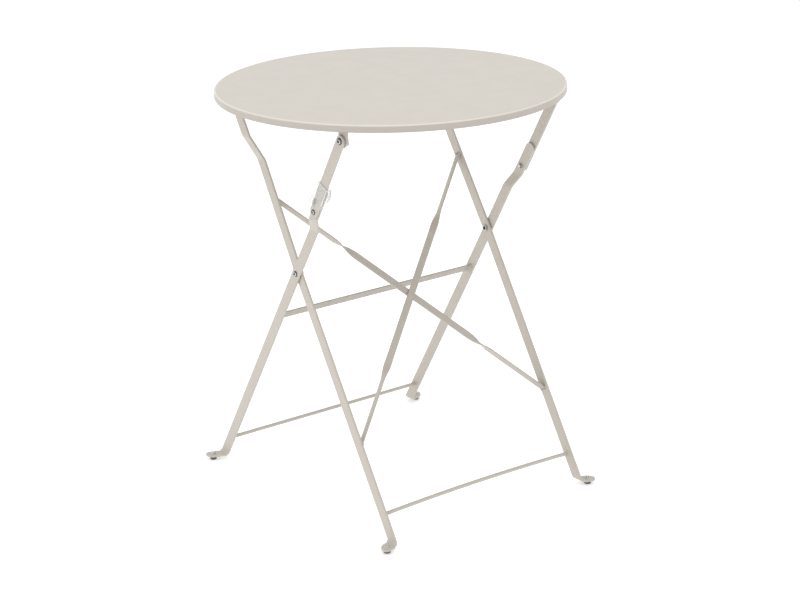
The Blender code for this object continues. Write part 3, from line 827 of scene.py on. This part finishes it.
def make_lugs():
    """The ears that the links and inner legs pivot on, each with a run of weld."""
    for row, outline in (("front", front_lug_outline()), ("rear", rear_lug_outline())):
        for index, (label, side) in enumerate(SIDES):
            node = f"{row}_lug_{label}"
            x, y = middle(node).x, middle(node).y
            half = (high(node).y - low(node).y) / 2
            finish_piece(node + "_ear", soft_plate(outline, y, half, 0.7), "top", COAT, [node])
            at = Vector((x, y - side * (half + 0.4), outline[0][1] - 0.8))
            bead_line(f"weld_{node}", at, Vector((11, 0, 0)), 1.6, 60 + index)


# ------------------------------------------------------------------ fasteners and feet
SOCKET = 0.42  # share of a head's radius
SOCKET_BASE = 0.20  # share of a head's height
CROSS_Y = OUTER_Y["cross"]

# Each bolt that has a nut: its name and its nodes' name, pivot, distance of the bar under its head from the
# centre plane, bodies of bolt and nut, head (radius, height), nut (across flats, height), and how far the
# shank and the rounded tail pass the nut's face. A tail of 0 is left out.
BOLTS = (
    ("front", "front_pivot", LINK_TOP, LINK_Y, "links", "top", (5.6, 3.1), (10.0, 4.0), 6.0, 0.0),
    ("knee", "knee", KNEE, LINK_Y, "outer_frame", "outer_frame", (4.6, 2.6), (8.0, 3.4), 4.6, 4.4),
    ("scissor", "scissor", SCISSOR, CROSS_Y, "outer_frame", "inner_frame", (4.8, 2.8), (9.6, 4.0), 4.0, 5.2),
)


def dome_profile(radius, height, length):
    """Domed head with a round socket, above its washer, on a shank of a length below the face."""
    inner = radius * 0.78
    socket = radius * SOCKET
    base = height * SOCKET_BASE
    profile = [(0.0, base), (socket, base), (socket, height * 0.88)]
    profile += [(socket + 0.25, height), (radius * 0.54, height * 0.97), (radius * 0.64, height * 0.86)]
    profile += [(radius * 0.73, height * 0.66), (inner, height * 0.42), (inner, WASHER)]
    return profile + [(SHANK, WASHER), (SHANK, 0.4 - length), (SHANK - 0.5, -length), (0.0, -length)]


def head_trim(name, centre, axis, radius, height, body):
    """The dark washer under a head, and a near-black lining in its socket: painted shade."""
    washer = [(radius * 0.7, 0.0), (radius - 0.15, 0.0), (radius, 0.15), (radius, WASHER - 0.15)]
    washer += [(radius - 0.15, WASHER), (radius * 0.7, WASHER)]
    finish_piece(name + "_washer", lathe(washer, centre, axis, 40, loop=True), body, DARK_STEEL_AND_SHADE, sharp=42.0)
    # near-black lining: painted shade in the socket's recess
    reach, base = radius * SOCKET - 0.05, height * SOCKET_BASE
    plug = [(0.0, base + 0.3), (reach * 0.6, base + 0.35), (reach - 0.1, base + 0.5)]
    plug += [(reach, height * 0.8), (reach, base), (0.0, base)]
    finish_piece(name + "_socket_shade", lathe(plug, centre, axis, 24), body, DARK_STEEL_AND_SHADE, sharp=42.0)


def make_head(name, node, pivot, face_y, outward, length, size, body):
    """Domed head on a face at face_y, pointing outward (1 or -1) along Y."""
    centre, axis = (pivot[0], face_y, pivot[1]), (0, outward, 0)
    head_trim(name, centre, axis, *size, body)
    bm = lathe(dome_profile(*size, length), centre, axis, 40)
    finish_piece(name, bm, body, ZINC, [node], sharp=42.0)


def make_nut(name, node, pivot, side, face, size, body):
    """Chamfered hexagon nut against an inner face."""
    flat, height = size
    bm = bmesh.new()
    turn = Vector((0, 0, 1)).rotation_difference(Vector((0, -side, 0)))
    centre = Vector((pivot[0], side * face, pivot[1]))
    layers = [("hole", 3.1, 0.0), ("chamfer", 0.90, 0.0), ("hexagon", 1.0, 0.35)]
    layers += [("hexagon", 1.0, height - 0.5), ("chamfer", 0.88, height), ("hole", 3.9, height)]
    layers += [("hole", 3.1, height - 0.5)]
    rings = []
    for kind, reach, level in layers:
        ring = []
        for step in range(48):
            angle = 2 * math.pi * step / 48
            if kind == "hole":
                length = reach
            elif kind == "chamfer":
                length = flat / 2 * (1.0 + (reach - 0.9) * 0.3)
            else:
                length = flat / 2 / math.cos((angle % (math.pi / 3)) - math.pi / 6)
            spot = Vector((length * math.cos(angle), length * math.sin(angle), level))
            ring.append(bm.verts.new(centre + turn @ spot))
        rings.append(ring)
    skin(bm, rings, loop=True)
    finish_piece(name, bm, body, ZINC, [node], sharp=30.0)


def make_tail(name, pivot, side, face, reach, body):
    """Rounded end of a bolt inside its nut."""
    profile = [(0.0, reach), (1.7, reach - 0.1), (2.7, reach - 0.4), (3.05, reach - 0.9)]
    profile += [(3.05, 0.2), (0.0, 0.2)]
    bm = lathe(profile, (pivot[0], side * face, pivot[1]), (0, -side, 0), 24)
    finish_piece(name, bm, body, DARK_STEEL_AND_SHADE, sharp=45.0)


def make_rear_pivot(label, side):
    """The two halves of the open pivot's bolt: an outer head and an inner one, each with its shank."""
    bolt_size, stud_size = (5.4, 2.8), (5.2, 2.6)
    bolt_length = 3.3
    name, node = "rear_bolt_head_" + label, "rear_pivot_bolt_" + label
    face = reach_of(node, min) + bolt_length
    make_head(name, node, INNER_TOP, side * face, side, bolt_length, bolt_size, "top")
    name, node = "rear_stud_head_" + label, "rear_pivot_stud_" + label
    face = reach_of(node, min) + stud_size[1]
    length = reach_of(node, max) - face
    make_head(name, node, INNER_TOP, side * face, -side, length, stud_size, "inner_frame")


def make_fasteners():
    for label, side in SIDES:
        for kind, node_kind, pivot, bar_y, bolt_body, nut_body, head, nut, past, tail in BOLTS:
            nut_node = f"{node_kind}_nut_{label}"
            face = bar_y + BAR_THICK / 2 + GAP
            nut_face = reach_of(nut_node, max)
            length = face - (nut_face - past)
            name, node = f"{kind}_bolt_head_{label}", f"{node_kind}_bolt_{label}"
            make_head(name, node, pivot, side * face, side, length, head, bolt_body)
            make_nut(f"{kind}_nut_hex_{label}", nut_node, pivot, side, nut_face, nut, nut_body)
            if tail:
                make_tail(f"{kind}_bolt_tail_{label}", pivot, side, nut_face, tail, bolt_body)
        make_rear_pivot(label, side)


def make_foot(kind, label):
    """A moulded pad with a groove, and the domed rivet that holds it to the foot tab."""
    pad_node, rivet_node, body = f"foot_pad_{kind}_{label}", f"foot_rivet_{kind}_{label}", kind + "_frame"
    centre = middle(pad_node)
    radius = (high(pad_node).x - low(pad_node).x) / 2
    top_z = high(pad_node).z
    pad = [(0.0, 0.9), (1.6, 0.9), (2.0, 0.35), (2.4, 0.0), (radius - 1.6, 0.0), (radius - 0.9, 0.15)]
    pad += [(radius - 0.35, 0.7), (radius - 0.2, 1.5), (radius - 0.5, 2.0), (radius - 1.1, 2.3)]
    pad += [(radius - 1.2, 3.6), (radius - 0.9, 4.0), (radius, 4.4), (radius, top_z - 0.5)]
    pad += [(radius - 0.5, top_z), (2.4, top_z), (2.4, 1.8), (0.0, 1.8)]
    bm = lathe(pad, (centre.x, centre.y, 0), (0, 0, 1), 48)
    finish_piece(pad_node + "_moulded", bm, body, RUBBER, [pad_node], sharp=40.0)
    button = [(0.0, 0.9), (1.0, 1.0), (1.3, 1.9), (1.8, 2.3), (2.6, 2.2), (3.4, 1.7), (4.0, 0.9)]
    button += [(4.2, 0.3), (4.2, -0.1), (2.0, -0.1), (2.0, -TAB_Z), (0.0, -TAB_Z)]
    bm = lathe(button, (centre.x, centre.y, TAB_Z + BAR_THICK / 2), (0, 0, 1), 40)
    finish_piece(rivet_node + "_button", bm, body, ZINC, [rivet_node], sharp=45.0)


# ------------------------------------------------------------------ safety clip
CLIP_HALF = BAR_WIDTH / 2 + 1.3  # inner half width
CLIP_WALL = 1.5
CLIP_FACE_Y = LINK_Y + BAR_THICK / 2 + 0.4  # inside of its outer wall
CLIP_SPLIT_Y = LINK_Y - BAR_THICK / 2 + 0.4  # where the plain part of its side walls ends
CLIP_HOOK_Y = OUTER_Y["top"] - BAR_THICK / 2 - 0.6  # inside of the hook that reaches behind the leg
CLIP_END = 58.7  # distance of its upper rims from the knee


def on_clip(distance, across, y):
    """World place of a clip's point: up the left link from the knee, across it, and out from the centre."""
    up_link = Vector((LINK_TOP[0] - KNEE[0], 0, LINK_TOP[1] - KNEE[1])).normalized()
    over_link = Vector((up_link.z, 0, -up_link.x))
    return Vector((KNEE[0], 0, KNEE[1])) + up_link * distance + over_link * across + Vector((0, -y, 0))


def clip_channel():
    """Open channel over the link, which turns into a hook behind the leg."""
    half, wall = CLIP_HALF, CLIP_WALL
    wide, front = half + wall, CLIP_FACE_Y + wall
    channel = [(half, CLIP_FACE_Y), (0.0, CLIP_FACE_Y), (-half, CLIP_FACE_Y), (-half, CLIP_SPLIT_Y)]
    channel += [(-wide, CLIP_SPLIT_Y), (-wide, front - 0.5), (-wide + 0.5, front), (0.0, front)]
    channel += [(wide - 0.5, front), (wide, front - 0.5)]
    shares = (1.0, 0.67, 0.33, 0.0)
    plain = [(half + wall * share, CLIP_SPLIT_Y) for share in shares]
    deep = [(half + wall * share, CLIP_HOOK_Y - wall) for share in shares]
    hook = [(wide, CLIP_HOOK_Y - wall), (-2.0, CLIP_HOOK_Y - wall), (-2.0, CLIP_HOOK_Y), (half, CLIP_HOOK_Y)]
    bm = bmesh.new()
    rings = []
    for distance, edge in ((17.0, plain), (39.0, plain), (41.0, deep), (44.0, hook), (59.0, hook)):
        rings.append([bm.verts.new(on_clip(distance, u, y)) for u, y in channel + edge])
    skin(bm, rings)
    finish_piece("clip_channel", bm, "clip", PLASTIC, ["safety_clip"], sharp=30.0)


def clip_cord(name, points, radius=0.55, surface=MILKY):
    """A thin round rim along a line on the clip, given as (distance, across, y)."""
    path = [on_clip(*point) for point in points]
    bm = bmesh.new()
    rings = []
    for index, at in enumerate(path):
        run = (path[min(index + 1, len(path) - 1)] - path[max(index - 1, 0)]).normalized()
        first = run.cross(Vector((0.31, 0.9, 0.2))).normalized()
        second = run.cross(first)
        ring = []
        for turn in range(8):
            angle = math.tau * turn / 8
            ring.append(bm.verts.new(at + (first * math.cos(angle) + second * math.sin(angle)) * radius))
        rings.append(ring)
    skin(bm, rings)
    finish_piece(name, bm, "clip", surface, sharp=60.0)


def clip_slab(name, outline, y_low, y_high, edge, surface):
    """A small rounded plate in the clip's own plane, with an outline of (across, distance)."""
    bm = bmesh.new()
    points = [Vector(p) for p in outline]
    centre = sum(points, Vector((0, 0))) / len(points)
    rings = []
    for inset, height in layer_profile((y_high - y_low) / 2, edge, 3):
        ring = []
        for point in points:
            p = point + (centre - point).normalized() * inset
            ring.append(bm.verts.new(on_clip(p.y, p.x, (y_low + y_high) / 2 + height)))
        rings.append(ring)
    skin(bm, rings)
    finish_piece(name, bm, "clip", surface, sharp=30.0)


def clip_rims():
    """The thick rims round the channel and its hook; the rim along the wall is grey painted shade."""
    half, wide, front = CLIP_HALF, CLIP_HALF + CLIP_WALL, CLIP_FACE_Y + CLIP_WALL
    last = CLIP_END - 0.1
    clip_cord("clip_rim_a", [(d, -half, front) for d in (30.0, 44.0, last)])
    wall = [(30.0, -half), (30.4, -wide), (44.0, -wide), (last, -wide)]
    # grey outline along the wall: painted shade
    clip_cord("clip_rim_wall", [(d, u, CLIP_SPLIT_Y) for d, u in wall], 0.5, PLASTIC_SHADE)
    clip_cord("clip_rim_b", [(d, wide, front - 0.4) for d in (26.0, 40.0, last)])
    top = [(CLIP_END, -wide), (CLIP_END + 0.2, 0.0), (CLIP_END, wide)]
    clip_cord("clip_rim_top", [(d, u, front - 0.2) for d, u in top])
    side = [(CLIP_END, front), (CLIP_END + 0.1, front - 6.0), (CLIP_END, CLIP_HOOK_Y)]
    clip_cord("clip_rim_side", [(d, wide, y) for d, y in side])
    hook = [(44.0, CLIP_HOOK_Y), (51.0, CLIP_HOOK_Y - 0.4), (CLIP_END, CLIP_HOOK_Y)]
    clip_cord("clip_rim_hook", [(d, wide, y) for d, y in hook])


def clip_ear():
    """The thumb ear beside the channel, with its outline and a fold drawn as grey painted shade."""
    wide = CLIP_HALF + CLIP_WALL
    ear_y = (217.0, 219.2)
    ear = [(wide - 0.3, 57.5), (CLIP_HALF + 5.2, 55.0), (CLIP_HALF + 7.4, 50.0), (CLIP_HALF + 6.6, 40.0)]
    ear += [(CLIP_HALF + 3.8, 34.5), (wide - 0.3, 33.0)]
    clip_slab("clip_thumb_ear", ear, *ear_y, 0.35, PLASTIC)
    # grey outline and fold of the ear: painted shade
    clip_cord("clip_ear_rim", [(d, u, ear_y[1]) for u, d in ear], 0.45, PLASTIC_SHADE)
    fold = [(36.0, wide + 1.6), (45.0, wide + 3.6), (54.0, wide + 1.8)]
    clip_cord("clip_ear_fold", [(d, u, ear_y[1]) for d, u in fold], 0.4, PLASTIC_SHADE)


def clip_lug():
    """The stop lug at the channel's lower end, with its outline and the leaf-shaped pocket in it drawn as
    grey painted shade.
    """
    edge = -CLIP_HALF
    lug = [(edge + 8.8, 27.0), (edge - 2.0, 26.0), (edge - 4.2, 20.0), (edge - 3.2, 8.0), (edge + 8.8, 6.0)]
    clip_slab("clip_stop_lug", lug, CLIP_FACE_Y, CLIP_FACE_Y + 1.4, 0.35, PLASTIC)
    clip_cord("clip_lug_rim", [(d, u, CLIP_FACE_Y + 1.2) for u, d in lug[1:4]], 0.4, PLASTIC_SHADE)
    # a thin grey slab on the lug: painted shade where its pocket is
    pocket = [(edge + 7.2, 23.5), (edge + 4.6, 25.0), (edge + 2.8, 22.0), (edge + 2.8, 15.0)]
    pocket += [(edge + 4.4, 11.5), (edge + 6.4, 11.0), (edge + 8.0, 15.0)]
    clip_slab("clip_pocket_shade", pocket, CLIP_FACE_Y + 1.3, CLIP_FACE_Y + 1.9, 0.2, PLASTIC_SHADE)


# ------------------------------------------------------------------ stage
def make_camera():
    """Camera at the photograph's viewing angle, with its slight roll."""
    azimuth, elevation, roll = (math.radians(angle) for angle in (53.468, 18.772, -1.251))
    target, distance = Vector((0.0048, 0.0065, 0.3244)), 3.6175
    level = math.cos(elevation)
    forward = Vector((-math.sin(azimuth) * level, math.cos(azimuth) * level, -math.sin(elevation)))
    right = Vector((math.cos(azimuth), math.sin(azimuth), 0.0))
    up = right.cross(forward)
    tilted_right = right * math.cos(roll) + up * math.sin(roll)
    tilted_up = up * math.cos(roll) - right * math.sin(roll)
    lens = bpy.data.cameras.new("camera")
    lens.sensor_width = 36.0
    lens.lens = 92.33
    lens.clip_end = 60.0
    camera = bpy.data.objects.new("camera", lens)
    turned = Matrix((tilted_right, tilted_up, -forward)).transposed().to_4x4()
    camera.matrix_world = Matrix.Translation(target - forward * distance) @ turned
    bpy.context.scene.collection.objects.link(camera)
    bpy.context.scene.camera = camera


def make_floor():
    """A wide white floor just below the feet."""
    n = Nodes("pale_floor")
    colour = n.mix(n.span(n.noise(3.0, 3.0), 0.0, 1.0), (0.90, 0.90, 0.90), (0.885, 0.885, 0.885))
    rough = n.span(n.noise(12.0, 3.0), 0.75, 0.9)
    n.shader.inputs["Specular IOR Level"].default_value = 0.1
    n.shader.inputs["Emission Color"].default_value = (1.0, 1.0, 1.0, 1.0)
    n.shader.inputs["Emission Strength"].default_value = 0.35
    bm = bmesh.new()
    bmesh.ops.create_grid(bm, x_segments=2, y_segments=2, size=30.0)
    mesh = bpy.data.meshes.new("floor")
    bm.to_mesh(mesh)
    bm.free()
    mesh.materials.append(n.surface(colour, rough))
    floor = bpy.data.objects.new("floor", mesh)
    floor.location.z = -0.0003
    bpy.context.scene.collection.objects.link(floor)


def make_light(name, spot, target, size, power):
    """A square white area light that faces a target."""
    lamp = bpy.data.lights.new(name, "AREA")
    lamp.shape = "RECTANGLE"
    lamp.size = lamp.size_y = size
    lamp.energy = power
    holder = bpy.data.objects.new(name, lamp)
    holder.location = spot
    holder.rotation_euler = (Vector(target) - Vector(spot)).to_track_quat("-Z", "Y").to_euler()
    bpy.context.scene.collection.objects.link(holder)


def make_lights():
    """A white sky, brighter at the horizon, a large overhead light and a soft key from the left."""
    world = bpy.data.worlds.new("studio")
    world.use_nodes = True
    tree = world.node_tree
    background = tree.nodes["Background"]
    background.inputs["Color"].default_value = (1.0, 1.0, 1.0, 1.0)
    direction = tree.nodes.new("ShaderNodeTexCoord")
    split = tree.nodes.new("ShaderNodeSeparateXYZ")
    rise = tree.nodes.new("ShaderNodeMapRange")
    rise.interpolation_type = "SMOOTHSTEP"
    for key, value in (("From Min", 0.20), ("From Max", 0.45), ("To Min", 1.04), ("To Max", 0.68)):
        rise.inputs[key].default_value = value
    tree.links.new(direction.outputs["Generated"], split.inputs["Vector"])
    tree.links.new(split.outputs["Z"], rise.inputs["Value"])
    tree.links.new(rise.outputs["Result"], background.inputs["Strength"])
    bpy.context.scene.world = world
    make_light("overhead", (0.3, -0.2, 3.4), (0.0, 0.0, 0.4), 3.4, 58.0)
    make_light("key", (-1.5, -3.2, 1.8), (0.0, 0.0, 0.45), 2.0, 13.5)


def main():
    bpy.context.scene.view_settings.view_transform = "Standard"
    make_camera()
    make_floor()
    make_lights()
    make_top()
    make_rails()
    make_lugs()
    make_legs()
    make_links()
    make_mid_bar()
    make_rod("outer_low_rod", OUTER_SLOPE, "outer_frame", 21)
    make_rod("inner_low_rod", INNER_SLOPE, "inner_frame", 25)
    make_brace("brace_from_left", -1, LEFT_BRACE_AT, -BRACE_LIFT, -1, 31)
    make_brace("brace_from_right", 1, RIGHT_BRACE_AT, BRACE_LIFT, 1, 35)
    make_fasteners()
    for kind in ("outer", "inner"):
        for label, _ in SIDES:
            make_foot(kind, label)
    clip_channel()
    clip_rims()
    clip_ear()
    clip_lug()


main()
